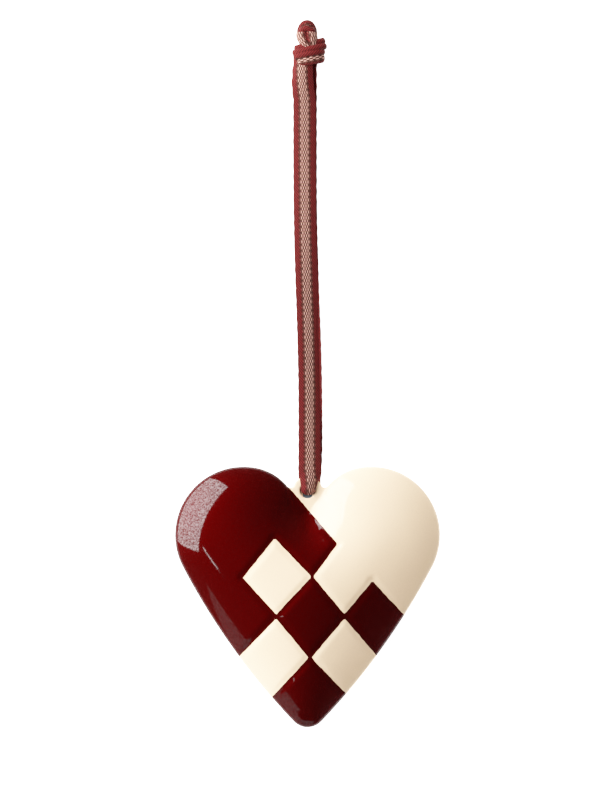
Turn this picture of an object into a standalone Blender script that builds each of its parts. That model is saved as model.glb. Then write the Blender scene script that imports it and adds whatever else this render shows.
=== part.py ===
# Braided heart ornament: a puffed, enamelled metal heart that hangs on a knotted ribbon.
#
# The heart lies on its flat back at z = 0, with its tip towards -Y and its lobes and
# ribbon towards +Y. The origin is under the middle of the heart. Lengths are in metres.

import math
from itertools import groupby

import bmesh
import bpy
import numpy as np
from mathutils import Matrix, Vector, kdtree
from mathutils.geometry import delaunay_2d_cdt, interpolate_bezier

MM = 0.001

# Outline of the heart, seen from the front
HEART_WIDTH = 70.0 * MM
LOBE_RADIUS = 18.1 * MM
LOBE_RISE = 50.8 * MM            # from the tip to the middle of each lobe
INNER_LOBE_RADIUS = 14.0 * MM    # the lobe turns tighter towards the cleft
INNER_LOBE_START = math.radians(100)
INNER_LOBE_END = math.radians(142)
SIDE_RADIUS = 180.0 * MM
TIP_RADIUS = 5.0 * MM

# The flat ear between the lobes, and its punched hole
EAR_RISE = 62.5 * MM             # from the tip to the middle of the hole
EAR_RADIUS = 3.9 * MM
EAR_FILLET = 1.0 * MM            # grows by half of any gap between the ear and the lobes
HOLE_RADIUS = 1.9 * MM

# Depths, from the table upwards
RIM_LOW = 1.7 * MM               # the upright edge of the rim runs from here
RIM_HEIGHT = 0.6 * MM
EDGE_ROUND = 0.3 * MM            # how far the ear's faces swell past that edge
SHOULDER_WIDTH = 9.0 * MM
SHOULDER_RISE = 1.9 * MM
CROWN_SLOPE = 0.4                # how steeply the blown-up middle leaves the outline
CROWN_STEP = 0.5 * MM            # length of the stretches that the outline is cut into for it
BACK_WIDTH = 6.0 * MM
RIDGE_BLEND = 6.0 * MM           # rounds the ridge where both sides of the heart meet
CLEFT_REACH = 3.0 * MM           # over this the steep shoulder turns into the soft cleft
EAR_BLEND = 0.8 * MM             # rounds the inside corner between the ear and the lobes

# Grooves pressed along the joints of the weave
GROOVE_DEPTH = 0.25 * MM
GROOVE_HALF_WIDTH = 1.7 * MM
GROOVE_FADE = 3.5 * MM

# Where the strips of the weave cross: shares of the half width, and of the height above
# the tip. A row is one joint of the red strips, and a column one joint of the cream ones.
CROSSINGS = [
    [None, (0.226, 0.706), (0.487, 0.564), (0.731, 0.431)],
    [(-0.248, 0.727), (0.036, 0.581), (0.279, 0.429), (0.518, 0.280)],
    [(-0.487, 0.577), (-0.235, 0.429), (0.019, 0.271), (0.283, 0.132)],
    [None, (-0.506, 0.279), (-0.259, 0.120), None],
]
LOBE_JOINT_START = (-0.137, 0.918)

# Mesh of the heart
OUTLINE_STEP = 1.7 * MM
FRONT_RINGS = [0.12 * MM, 0.45 * MM, 1.0 * MM, 1.9 * MM, 3.2 * MM, 5.0 * MM, 7.2 * MM]
BACK_RINGS = [0.15 * MM, 0.6 * MM, 1.5 * MM, 3.2 * MM, 6.0 * MM]
EAR_STEP = 0.75 * MM
FILL_STEP = 2.3 * MM
JOINT_CLEARANCE = 1.2 * MM
HOLE_SIDES = 24

# Ribbon
RIBBON_WIDTH = 6.0 * MM
RIBBON_THICKNESS = 0.4 * MM
GATHER_LENGTH = 7.0 * MM         # over this the ribbon opens out to its full width
GATHER_OFFSET = 0.55 * MM        # how far its far side lies from the middle of the hole
GAP = 0.3 * MM                   # between solids that touch
STRAND_STEPS = 4

# The middle line of each strand, from the hole to the knot, in millimetres: X is from the
# heart's middle line, Y from the middle of the hole, and Z the underside's height.
FRONT_ROUTE = [
    (0.2, 0.35, 1.95), (0.2, 0.35, 2.6), (0.25, 0.6, 3.05), (0.3, 1.4, 3.3), (0.4, 3.0, 3.3),
    (0.5, 5.5, 2.95), (0.53, 9.0, 2.3), (0.53, 14.0, 1.55), (0.53, 20.0, 1.0),
    (0.5, 28.0, 0.75), (0.3, 38.0, 0.75), (0.0, 48.0, 0.75), (-0.3, 57.0, 0.75),
    (-0.6, 68.0, 0.75), (-0.75, 79.0, 0.75), (-0.8, 90.0, 0.75), (-0.8, 99.0, 0.9),
    (-0.8, 105.0, 1.4), (-0.8, 109.0, 1.95), (-0.8, 111.6, 2.4),
]
BACK_ROUTE = [
    (0.2, 0.35, 1.65), (0.2, 0.4, 1.0), (0.25, 0.9, 0.6), (0.4, 2.0, 0.35), (0.6, 4.0, 0.2),
    (0.8, 7.0, 0.05), (0.95, 12.0, 0.0), (0.95, 20.0, 0.0), (0.85, 30.0, 0.0),
    (0.6, 40.0, 0.0), (0.2, 50.0, 0.0), (-0.1, 60.0, 0.0), (-0.4, 71.0, 0.0),
    (-0.5, 82.0, 0.0), (-0.5, 92.0, 0.0), (-0.5, 100.0, 0.15), (-0.5, 105.0, 0.55),
    (-0.5, 109.0, 1.1), (-0.5, 111.6, 1.55),
]

# The knot, in widths of its ribbon: half sizes of its wrap and its bight, and how far the
# wrap sits past the end of the front strand and the bight past the wrap
WRAP_HALF = Vector((0.775, 0.683, 0.385)) * RIBBON_WIDTH
WRAP_AHEAD = Vector((0.217, 0.783)) * RIBBON_WIDTH
WRAP_TURN = math.radians(8)
BIGHT_HALF = Vector((0.517, 0.75, 0.283)) * RIBBON_WIDTH
BIGHT_AHEAD = Vector((-0.133, 0.617)) * RIBBON_WIDTH

HALF_WIDTH = HEART_WIDTH / 2
HEART_HEIGHT = LOBE_RISE + LOBE_RADIUS
TIP_Y = -HEART_HEIGHT / 2
RIM_TOP = RIM_LOW + RIM_HEIGHT
HOLE = Vector((0.0, TIP_Y + EAR_RISE))
GATHERED_WIDTH = 2 * (math.sqrt(HOLE_RADIUS ** 2 - GATHER_OFFSET ** 2) - GAP)


def direction(angle):
    return Vector((math.cos(angle), math.sin(angle)))


def angle_of(vector):
    return math.atan2(vector.y, vector.x)


def meeting_point(first, first_reach, second, second_reach, left):
    # The point at these two distances from two centres, left or right of the line between.
    line = second - first
    gap = line.length
    line.normalize()
    along = (first_reach ** 2 - second_reach ** 2 + gap ** 2) / (2 * gap)
    off = math.sqrt(first_reach ** 2 - along ** 2)
    side = Vector((-line.y, line.x)) * (off if left else -off)
    return first + line * along + side


class Arc:
    # A round stretch of the outline, from one angle up to a greater one.
    def __init__(self, centre, radius, start, end):
        self.centre = centre
        self.radius = radius
        self.start = start
        self.end = end

    def points(self, step):
        count = max(1, math.ceil(self.radius * (self.end - self.start) / step))
        turns = [self.start + (self.end - self.start) * k / count for k in range(count + 1)]
        return [self.centre + direction(turn) * self.radius for turn in turns]

    def distance(self, spots):
        offset = spots - np.array(self.centre)
        turn = (np.arctan2(offset[:, 1], offset[:, 0]) - self.start) % math.tau
        beside = np.abs(np.hypot(offset[:, 0], offset[:, 1]) - self.radius)
        ends = [self.centre + direction(angle) * self.radius for angle in (self.start, self.end)]
        past = np.minimum(*[np.hypot(*(spots - np.array(end)).T) for end in ends])
        return np.where(turn <= self.end - self.start, beside, past)


def segment_distance(spots, start, end):
    start = np.array(start)
    line = np.array(end) - start
    along = np.clip((spots - start) @ line / (line @ line), 0, 1)
    return np.hypot(*(spots - start - along[:, None] * line).T)


# The right half of the outline, as arcs that run on smoothly into each other
LOBE = Vector((HALF_WIDTH - LOBE_RADIUS, TIP_Y + LOBE_RISE))
TIP = Vector((0.0, TIP_Y + TIP_RADIUS))
SIDE = meeting_point(LOBE, SIDE_RADIUS - LOBE_RADIUS, TIP, SIDE_RADIUS - TIP_RADIUS, False)
INNER = LOBE + direction(INNER_LOBE_START) * (LOBE_RADIUS - INNER_LOBE_RADIUS)
EAR_GAP = (INNER - HOLE).length - EAR_RADIUS - INNER_LOBE_RADIUS
FILLET_RADIUS = EAR_FILLET + max(EAR_GAP, 0) / 2
FILLET = meeting_point(HOLE, EAR_RADIUS + FILLET_RADIUS, INNER, INNER_LOBE_RADIUS + FILLET_RADIUS, True)

tip_arc = Arc(TIP, TIP_RADIUS, -math.pi / 2, angle_of(TIP - SIDE))
side_arc = Arc(SIDE, SIDE_RADIUS, angle_of(TIP - SIDE), angle_of(LOBE - SIDE))
lobe_arc = Arc(LOBE, LOBE_RADIUS, angle_of(LOBE - SIDE), INNER_LOBE_START)
shown_arc = Arc(INNER, INNER_LOBE_RADIUS, INNER_LOBE_START, angle_of(FILLET - INNER))
hidden_arc = Arc(INNER, INNER_LOBE_RADIUS, angle_of(FILLET - INNER), INNER_LOBE_END)
fillet_arc = Arc(FILLET, FILLET_RADIUS, angle_of(HOLE - FILLET) % math.tau, angle_of(INNER - FILLET) % math.tau)
ear_arc = Arc(HOLE, EAR_RADIUS, angle_of(FILLET - HOLE), math.pi / 2)
hole_arc = Arc(HOLE, HOLE_RADIUS, -math.pi / 2, math.pi / 2)

# The puffed part ends in a cleft, behind the ear: a straight flank down to the middle line
FLANK_TOP = INNER + direction(INNER_LOBE_END) * INNER_LOBE_RADIUS
CLEFT = Vector((0.0, FLANK_TOP.y + FLANK_TOP.x / math.tan(INNER_LOBE_END)))


def both_halves(measure, spots):
    return measure(spots), measure(spots * np.array([-1.0, 1.0]))


def half_puff_distance(spots):
    rows = [arc.distance(spots) for arc in (tip_arc, side_arc, lobe_arc, shown_arc, hidden_arc)]
    rows.append(segment_distance(spots, FLANK_TOP, CLEFT))
    return np.min(rows, axis=0)


def half_rim_distance(spots):
    return np.min([arc.distance(spots) for arc in (tip_arc, side_arc, lobe_arc, shown_arc)], axis=0)


def half_edge_distance(spots):
    arcs = (tip_arc, side_arc, lobe_arc, shown_arc, fillet_arc, ear_arc, hole_arc)
    return np.min([arc.distance(spots) for arc in arcs], axis=0)


def edge_distance(spots):
    return np.min(both_halves(half_edge_distance, spots), axis=0)


def inside_puff(spots):
    # Between the flanks of the cleft there is only the flat ear.
    x, y = np.abs(spots[:, 0]), spots[:, 1]
    flank_x = FLANK_TOP.x * (y - CLEFT.y) / (FLANK_TOP.y - CLEFT.y)
    beside_arc = (y > FLANK_TOP.y) & (np.hypot(x - INNER.x, y - INNER.y) > INNER_LOBE_RADIUS)
    in_cleft = (y > CLEFT.y) & (y <= FLANK_TOP.y) & (x < flank_x)
    return ~(in_cleft | (beside_arc & (x < INNER.x)))


def puff_depth(spots):
    # How far a spot lies inside the puffed outline, with the ridge in the middle rounded.
    right, left = both_halves(half_puff_distance, spots)
    blend = np.minimum(RIDGE_BLEND, 0.8 * (right + left)) + 1e-9
    overlap = np.maximum(blend - np.abs(right - left), 0) / blend
    depth = np.minimum(right, left) - overlap ** 2 * blend / 4
    return np.where(inside_puff(spots), np.maximum(depth, 0), 0)


def mirrored_loop(half):
    # A closed loop from a half that starts and ends on the middle line.
    return half + [Vector((-p.x, p.y)) for p in reversed(half[1:-1])]


def joined(chains):
    points = []
    for chain in chains:
        points += chain if not points else chain[1:]
    return points


def crown_rise(spots):
    # The rise of a skin that is blown up over the puffed outline and leaves it at 45 degrees.
    # It is smooth all over: each stretch of the outline pulls it down, the near ones hardest.
    chains = [arc.points(CROWN_STEP) for arc in (tip_arc, side_arc, lobe_arc, shown_arc, hidden_arc)]
    outline = np.array(mirrored_loop(joined(chains + [[FLANK_TOP, CLEFT]])))
    pull = np.zeros(len(spots))
    for start, end in zip(outline, np.roll(outline, -1, axis=0)):
        to_start, to_end = start - spots, end - spots
        near, far = np.hypot(*to_start.T), np.hypot(*to_end.T)
        opened = near * far * (near * far + np.sum(to_start * to_end, axis=1))
        pull += np.hypot(*(end - start)) * (near + far) / np.maximum(opened, 1e-30)
    return np.where(inside_puff(spots), np.sqrt(2 / pull), 0)


def quarter_round(share):
    return np.sqrt(soft_rise(share))


def soft_rise(share):
    return 1 - (1 - np.clip(share, 0, 1)) ** 2


def eased(share):
    share = np.clip(share, 0, 1)
    return share ** 2 * (3 - 2 * share)


def rounded_maximum(first, second, blend):
    overlap = np.maximum(blend - np.abs(first - second), 0) / blend
    return np.maximum(first, second) + overlap ** 2 * blend / 4


def crossing(row, column):
    across, up = CROSSINGS[row][column]
    return Vector((across * HALF_WIDTH, TIP_Y + up * HEART_HEIGHT))


def weave_joints():
    # Every joint where red meets cream.
    start = Vector((LOBE_JOINT_START[0] * HALF_WIDTH, TIP_Y + LOBE_JOINT_START[1] * HEART_HEIGHT))
    joints = [(start, crossing(0, 1)), (crossing(0, 2), crossing(0, 3)), (crossing(1, 0), crossing(2, 0))]
    joints += [(crossing(row, k), crossing(row, k + 1)) for row in (1, 2) for k in range(3)]
    joints += [(crossing(k, column), crossing(k + 1, column)) for column in (1, 2) for k in range(3)]
    return joints


def groove(spots, depth):
    left_over = np.ones(len(spots))
    for start, end in weave_joints():
        share = np.clip(segment_distance(spots, start, end) / GROOVE_HALF_WIDTH, 0, 1)
        left_over *= 1 - 0.5 * (1 + np.cos(math.pi * share))
    return GROOVE_DEPTH * (1 - left_over) * eased(depth / GROOVE_FADE)


def swelling(spots, dome):
    # The dome rises steeply from the heart's rim, and softly out of the cleft by the ear.
    edge = edge_distance(spots)
    ear = EDGE_ROUND * quarter_round(edge / EDGE_ROUND)
    blend = np.minimum(EAR_BLEND, 2 * edge) + 1e-9
    return rounded_maximum(dome, ear, blend)


def shoulder(spots, depth, width):
    rim = np.min(both_halves(half_rim_distance, spots), axis=0)
    softness = eased((rim - depth) / CLEFT_REACH)
    share = depth / width
    return quarter_round(share) * (1 - softness) + soft_rise(share) * softness


def front_heights(spots):
    depth = puff_depth(spots)
    dome = SHOULDER_RISE * shoulder(spots, depth, SHOULDER_WIDTH)
    dome += CROWN_SLOPE * crown_rise(spots) - groove(spots, depth)
    return RIM_TOP + swelling(spots, dome)


def back_heights(spots):
    # The flat back is as low as the table, so nothing swells below it.
    depth = puff_depth(spots)
    dome = RIM_LOW * shoulder(spots, depth, BACK_WIDTH)
    return np.maximum(RIM_LOW - swelling(spots, dome), 0)


def side_stops():
    # Where the joints run out over the sides, with those of the left side mirrored.
    stops = []
    for start, end in weave_joints():
        side = math.copysign(1, end.x)
        end = Vector((end.x * side, end.y))
        along = (end - Vector((start.x * side, start.y))).normalized()
        offset = end - SIDE
        short = offset.dot(along)
        reach = math.sqrt(max(short ** 2 - offset.length_squared + SIDE_RADIUS ** 2, 0)) - short
        stop = end + along * reach
        apart = all((stop - other).length > OUTLINE_STEP / 3 for other in stops)
        if apart and abs(reach) < JOINT_CLEARANCE:
            stops.append(stop)
    return stops


def outline_points(arc):
    # Points along an arc of the outline. On the side, one sits wherever a joint reaches it.
    points = arc.points(OUTLINE_STEP)
    if arc is not side_arc:
        return points
    stops = side_stops()
    clear = [spot for spot in points[1:-1] if all((spot - stop).length > OUTLINE_STEP / 3 for stop in stops)]
    return [points[0]] + sorted(clear + stops, key=lambda spot: spot.y) + [points[-1]]


def edge_loop():
    lower = [outline_points(arc) for arc in (tip_arc, side_arc, lobe_arc, shown_arc)]
    fillet = list(reversed(fillet_arc.points(EAR_STEP / 2)))
    return mirrored_loop(joined(lower + [fillet, ear_arc.points(EAR_STEP)]))


def hole_loop():
    return mirrored_loop(hole_arc.points(math.pi * HOLE_RADIUS / HOLE_SIDES * 2))


def ring_spots(depths):
    # Spots at these depths inside the puffed outline, each straight in from a point of it.
    spots = []
    for arc in (tip_arc, side_arc, lobe_arc, shown_arc, hidden_arc):
        for spot in outline_points(arc)[1:]:
            inward = (arc.centre - spot).normalized()
            spots += [spot + inward * depth for depth in depths]
    flank = CLEFT - FLANK_TOP
    inward = Vector((-flank.y, flank.x)).normalized()
    count = math.ceil(flank.length / OUTLINE_STEP)
    for k in range(count + 1):
        spots += [FLANK_TOP + flank * k / count + inward * depth for depth in depths]
    nearest = np.min(both_halves(half_puff_distance, np.array(spots)), axis=0)
    wanted = np.tile(depths, len(spots) // len(depths))
    keep = np.abs(nearest - wanted) < 0.02 * MM
    right = [spot for spot, kept in zip(spots, keep) if kept and spot.x > -0.1 * MM]
    return right + [Vector((-spot.x, spot.y)) for spot in right]


def ear_spots():
    # Rings round the hole, over the flat ear.
    spots = []
    for reach in (EDGE_ROUND / 3, EDGE_ROUND, (EAR_RADIUS - HOLE_RADIUS) / 2):
        ring = Arc(HOLE, HOLE_RADIUS + reach, 0, math.tau)
        spots += ring.points(EAR_STEP)
    rim = Arc(HOLE, EAR_RADIUS - EDGE_ROUND / 2, math.radians(20), math.radians(160))
    return spots + rim.points(EAR_STEP)


def joint_rows():
    # Spots along the middle of each joint, in runs clear of the rim, the ear and the hole.
    rows = []
    for start, end in weave_joints():
        count = math.ceil((end - start).length / OUTLINE_STEP)
        row = [start.lerp(end, k / count) for k in range(count + 1)]
        rims = np.min(both_halves(half_rim_distance, np.array(row)), axis=0)
        edges = edge_distance(np.array(row))
        clear = (rims > JOINT_CLEARANCE) & (edges > 2 * EDGE_ROUND)
        for kept, run in groupby(zip(row, clear), key=lambda pair: pair[1]):
            run = [spot for spot, _ in run]
            if kept and len(run) > 1:
                rows.append(run)
    return rows


def groove_spots():
    # Spots along both sides of each joint, halfway up the groove and at its edge. Near the
    # rim, where the groove fades out, the rings take their place.
    spots = []
    for row in joint_rows():
        line = row[1] - row[0]
        side = Vector((-line.y, line.x)).normalized() * GROOVE_HALF_WIDTH
        middle = [spot + line / 2 for spot in row[:-1]]
        spots += [spot + side * share for share in (0.5, -0.5, 1, -1) for spot in middle]
    depths = puff_depth(np.array(spots))
    return [spot for spot, depth in zip(spots, depths) if depth > GROOVE_FADE * 0.7]


def fill_spots():
    spots = []
    rows = int(HEART_HEIGHT / (FILL_STEP * 0.866)) + 2
    columns = int(HEART_WIDTH / FILL_STEP) + 2
    for row in range(rows):
        for column in range(columns):
            x = (column - columns / 2 + row % 2 / 2) * FILL_STEP
            spots.append(Vector((x, TIP_Y + row * FILL_STEP * 0.866)))
    return spots


def inside_loop(spot, loop):
    # Counts how many sides of the loop lie to the right of the spot.
    inside = False
    for a, b in zip(loop, loop[1:] + loop[:1]):
        if (a.y > spot.y) != (b.y > spot.y):
            if spot.x < a.x + (b.x - a.x) * (spot.y - a.y) / (b.y - a.y):
                inside = not inside
    return inside


def thinned(groups, loops):
    # Keeps each spot that is inside the outline and clear of the spots kept before it.
    edge, hole = loops
    kept = list(edge) + list(hole)
    for spots, clearance in groups:
        for start in range(0, len(spots), 40):
            tree = kdtree.KDTree(len(kept))
            for index, spot in enumerate(kept):
                tree.insert(spot.to_3d(), index)
            tree.balance()
            fresh = []
            for spot in spots[start:start + 40]:
                clear = tree.find(spot.to_3d())[2] > clearance
                clear = clear and all((spot - other).length > clearance for other in fresh)
                if clear and inside_loop(spot, edge) and not inside_loop(spot, hole):
                    fresh.append(spot)
            kept += fresh
    return kept


def joint_sides(spots, rows):
    # The pairs of spots that follow each other along a joint.
    tree = kdtree.KDTree(len(spots))
    for index, spot in enumerate(spots):
        tree.insert(spot.to_3d(), index)
    tree.balance()
    sides = []
    for row in rows:
        found = [tree.find(spot.to_3d()) for spot in row]
        indices = [index if gap < 0.01 * MM else None for _, index, gap in found]
        sides += [pair for pair in zip(indices, indices[1:]) if None not in pair]
    return sides


def sheet(spots, loops, rows):
    # Triangles over the spots, inside the outline and outside the hole.
    edge, hole = loops
    outer = list(range(len(edge)))
    inner = list(range(len(edge), len(edge) + len(hole)))
    sides = [(loop[k - 1], loop[k]) for loop in (outer, inner) for k in range(len(loop))]
    sides += joint_sides(spots, rows)
    result = delaunay_2d_cdt(spots, sides, [], 0, 1e-7)
    assert len(result[0]) == len(spots)
    triangles = []
    for face in result[2]:
        middle = (spots[face[0]] + spots[face[1]] + spots[face[2]]) / 3
        if inside_loop(middle, edge) and not inside_loop(middle, hole):
            triangles.append(face)
    return triangles


def beyond(inner, outer):
    # Carries a joint on past the outline.
    return outer + (outer - inner) * 0.3


def cream_areas():
    # The cream lobe with its own square, and the three cream squares set in the red.
    rows = [[crossing(row, k) if CROSSINGS[row][k] else None for k in range(4)] for row in range(4)]
    start = weave_joints()[0][0]
    far = 2 * HEART_WIDTH
    lobe = [beyond(rows[0][1], start), rows[0][1], rows[1][1], rows[1][2], rows[0][2],
            beyond(rows[0][2], rows[0][3]), Vector((far, 0)), Vector((far, far)), Vector((start.x, far))]
    upper = [rows[1][0], rows[1][1], rows[2][1], rows[2][0]]
    lower = [rows[2][1], rows[2][2], beyond(rows[2][2], rows[3][2]), beyond(rows[2][1], rows[3][1])]
    right = [rows[1][2], beyond(rows[1][2], rows[1][3]), beyond(rows[2][2], rows[2][3]), rows[2][2]]
    return [lobe, upper, lower, right]


def add_material(name, colour, roughness, metallic):
    material = bpy.data.materials.new(name)
    material.use_nodes = True
    shader = material.node_tree.nodes["Principled BSDF"]
    shader.inputs["Base Color"].default_value = (*colour, 1)
    shader.inputs["Roughness"].default_value = roughness
    shader.inputs["Metallic"].default_value = metallic
    material.diffuse_color = (*colour, 1)
    return material


def add_object(name, mesh, collection, material):
    item = bpy.data.objects.new(name, mesh)
    collection.objects.link(item)
    if material:
        mesh.materials.append(material)
    return item


def add_heart(collection):
    loops = (edge_loop(), hole_loop())
    rows = joint_rows()
    joint_spots = [spot for row in rows for spot in row]
    front = thinned([(joint_spots, 0.3 * MM), (groove_spots(), 0.7 * MM),
                     (ring_spots(FRONT_RINGS), 0.3 * MM), (ear_spots(), 0.25 * MM),
                     (fill_spots(), 1.4 * MM)], loops)
    back = thinned([(joint_spots, 0.3 * MM), (ring_spots(BACK_RINGS), 0.4 * MM),
                    (ear_spots(), 0.25 * MM)], loops)
    top = [spot.to_3d() for spot in front]
    for point, height in zip(top, front_heights(np.array(front))):
        point.z = height
    bottom = [spot.to_3d() for spot in back]
    for point, height in zip(bottom, back_heights(np.array(back))):
        point.z = height
    faces = [tuple(face) for face in sheet(front, loops, rows)]
    faces += [tuple(len(top) + k for k in reversed(face)) for face in sheet(back, loops, rows)]
    first = 0
    for loop in loops:
        for k in range(len(loop)):
            a, b = first + k, first + (k + 1) % len(loop)
            faces.append((a, len(top) + a, len(top) + b, b))
        first += len(loop)
    mesh = bpy.data.meshes.new("heart")
    mesh.from_pydata(top + bottom, [], faces)
    edit = bmesh.new()
    edit.from_mesh(mesh)
    bmesh.ops.recalc_face_normals(edit, faces=edit.faces)
    edit.to_mesh(mesh)
    edit.free()
    heart = add_object("heart", mesh, collection, add_material("red enamel", (0.10, 0.001, 0.002), 0.2, 0.0))
    mesh.materials.append(add_material("cream enamel", (0.87, 0.79, 0.62), 0.2, 0.0))
    areas = cream_areas()
    for face in mesh.polygons:
        face.material_index = int(any(inside_loop(face.center.xy, area) for area in areas))
    mesh.shade_smooth()
    mesh.set_sharp_from_angle(angle=math.radians(40))
    return heart


def smooth_route(route):
    # A smooth curve through the route's points, with each bend shared out between them.
    points = [Vector(point) * MM for point in route]
    ahead = points[1:] + [points[-1]]
    behind = [points[0]] + points[:-1]
    smooth = [points[0]]
    for k in range(len(points) - 1):
        reach = (points[k + 1] - points[k]).length / 3
        leave = points[k] + (ahead[k] - behind[k]).normalized() * reach
        arrive = points[k + 1] - (ahead[k + 1] - behind[k + 1]).normalized() * reach
        smooth += interpolate_bezier(points[k], leave, arrive, points[k + 1], STRAND_STEPS)[1:]
    lift = Vector((HOLE.x, HOLE.y, RIBBON_THICKNESS / 2))
    return [point + lift for point in smooth]


def add_strand(name, route, collection, material):
    path = smooth_route(route)
    edit = bmesh.new()
    rails = []
    gone = 0.0
    for before, point in zip([path[0]] + path, path):
        gone += (point - before).length
        width = GATHERED_WIDTH + (RIBBON_WIDTH - GATHERED_WIDTH) * eased(gone / GATHER_LENGTH)
        half = Vector((width / 2, 0, 0))
        rails.append((edit.verts.new(point - half), edit.verts.new(point + half)))
    for (a, b), (c, d) in zip(rails, rails[1:]):
        edit.faces.new((a, b, d, c))
    mesh = bpy.data.meshes.new(name)
    edit.to_mesh(mesh)
    edit.free()
    strand = add_object(name, mesh, collection, material)
    solid = strand.modifiers.new("Thickness", "SOLIDIFY")
    solid.thickness = RIBBON_THICKNESS
    solid.offset = 0
    solid.use_even_offset = True
    return strand


def add_lump(name, middle, half, turn, collection, material):
    place = Matrix.Translation(middle) @ Matrix.Rotation(turn, 4, "Z")
    edit = bmesh.new()
    bmesh.ops.create_uvsphere(edit, u_segments=20, v_segments=12, radius=1.0)
    bmesh.ops.transform(edit, matrix=place @ Matrix.Diagonal(half.to_4d()), verts=edit.verts)
    mesh = bpy.data.meshes.new(name)
    edit.to_mesh(mesh)
    edit.free()
    mesh.shade_smooth()
    return add_object(name, mesh, collection, material)


def add_knot(collection, cutters, material):
    # The wrap rests on the table, and the bight on top of it is as high in the middle.
    wrap_middle = (smooth_route(FRONT_ROUTE)[-1].xy + WRAP_AHEAD).to_3d()
    wrap_middle.z = WRAP_HALF.z
    bight_middle = wrap_middle + BIGHT_AHEAD.to_3d()
    knot = add_lump("ribbon_knot", wrap_middle, WRAP_HALF, WRAP_TURN, collection, material)
    bight = add_lump("bight_guide", bight_middle, BIGHT_HALF, 0, cutters, None)
    bight.hide_render = True
    bight.display_type = "WIRE"
    union = knot.modifiers.new("Bight", "BOOLEAN")
    union.operation = "UNION"
    union.object = bight
    return knot


def main():
    for item in list(bpy.data.objects):
        bpy.data.objects.remove(item)
    parts = bpy.data.collections.new("braided_heart_ornament")
    cutters = bpy.data.collections.new("cutters")
    bpy.context.scene.collection.children.link(parts)
    bpy.context.scene.collection.children.link(cutters)
    ribbon = add_material("woven ribbon", (0.28, 0.03, 0.04), 0.85, 0.0)
    add_heart(parts)
    add_strand("ribbon_front", FRONT_ROUTE, parts, ribbon)
    add_strand("ribbon_back", BACK_ROUTE, parts, ribbon)
    add_knot(parts, cutters, ribbon)


main()
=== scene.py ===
# %% [markdown]
# # A braided heart on a ribbon
#
# The object is a small hanging heart of pressed steel. Nine squares of the old woven paper
# heart are pressed into its front and sprayed in deep red and cream, and a narrow woven
# ribbon goes through the hole in its ear and ends in a knot. Here it lies on its back on a
# pale table, and the camera looks straight down on it, so the picture shows it as it hangs.
#
# The plain solids of the part are loaded first. Everything made here is fitted to them.

# %% Open the frame
import math

import bpy
import numpy as np
from mathutils import Matrix, Vector
from mathutils.geometry import delaunay_2d_cdt, interpolate_bezier


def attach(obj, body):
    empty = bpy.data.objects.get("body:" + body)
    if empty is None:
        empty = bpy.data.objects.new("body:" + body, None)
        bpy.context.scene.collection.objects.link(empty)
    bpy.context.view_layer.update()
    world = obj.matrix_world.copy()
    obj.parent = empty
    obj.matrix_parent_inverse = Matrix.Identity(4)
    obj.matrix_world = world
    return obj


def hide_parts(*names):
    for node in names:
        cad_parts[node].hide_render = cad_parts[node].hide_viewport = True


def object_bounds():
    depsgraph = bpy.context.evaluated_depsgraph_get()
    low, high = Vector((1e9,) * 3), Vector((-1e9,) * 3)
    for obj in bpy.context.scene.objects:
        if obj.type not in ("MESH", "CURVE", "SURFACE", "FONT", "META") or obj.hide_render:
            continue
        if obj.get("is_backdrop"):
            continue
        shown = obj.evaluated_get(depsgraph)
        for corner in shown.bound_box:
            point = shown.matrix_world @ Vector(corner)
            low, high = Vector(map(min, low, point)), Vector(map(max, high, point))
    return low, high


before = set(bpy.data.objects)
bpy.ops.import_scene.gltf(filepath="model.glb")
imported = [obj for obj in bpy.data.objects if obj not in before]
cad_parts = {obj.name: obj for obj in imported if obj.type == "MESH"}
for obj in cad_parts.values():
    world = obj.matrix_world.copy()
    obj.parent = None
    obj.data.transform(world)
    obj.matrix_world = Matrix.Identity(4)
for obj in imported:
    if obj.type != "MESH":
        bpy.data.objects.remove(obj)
solid_low, solid_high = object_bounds()
MM = 0.001
solid_sides = [round((b - a) / MM, 1) for a, b in zip(solid_low, solid_high)]
print(len(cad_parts), "solids span", solid_sides, "mm")

# %% [markdown]
# ## The camera
#
# A long lens far above the table keeps the heart's sides parallel, as a product photo does.
# The distance and the height of the picture are chosen, and the lens follows from them.
# Blender fits the longer side of a picture to the sensor's width, and this one is upright.

# %% Camera
PICTURE_HEIGHT = 211.3 * MM
PICTURE_MIDDLE = Vector((-1.98, 52.05, 3.0)) * MM
CAMERA_DISTANCE = 1.4


def in_scene(name, data):
    # Makes an object of a mesh, a lamp or a camera, and puts it in the scene.
    item = bpy.data.objects.new(name, data)
    bpy.context.collection.objects.link(item)
    return item


eye = bpy.data.cameras.new("camera above the table")
eye.sensor_width = 36.0
eye.lens = eye.sensor_width * CAMERA_DISTANCE / PICTURE_HEIGHT
eye.clip_start = 0.05
camera = in_scene("camera above the table", eye)
camera.location = PICTURE_MIDDLE + Vector((0, 0, CAMERA_DISTANCE))
bpy.context.scene.camera = camera
print("lens", round(eye.lens), "mm")

# %% [markdown]
# ## The heart's own sizes
#
# The outline is made of a few arcs that run on smoothly into each other, as a maker would
# set it out with compasses: a small arc at the tip, long flat arcs up the sides, a lobe, and
# a tighter arc down to the ear. Only the right half is set out, and the left is its mirror.

# %% Sizes of the outline
HEART_WIDTH = 70.0 * MM
LOBE_RADIUS = 18.1 * MM
LOBE_RISE = 50.8 * MM
INNER_LOBE_RADIUS = 14.0 * MM
INNER_LOBE_START = math.radians(100)
INNER_LOBE_END = math.radians(142)
SIDE_RADIUS = 180.0 * MM
TIP_RADIUS = 5.0 * MM
EAR_RISE = 62.5 * MM
EAR_RADIUS = 3.9 * MM
EAR_FILLET = 1.0 * MM
HOLE_RADIUS = 1.9 * MM

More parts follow.
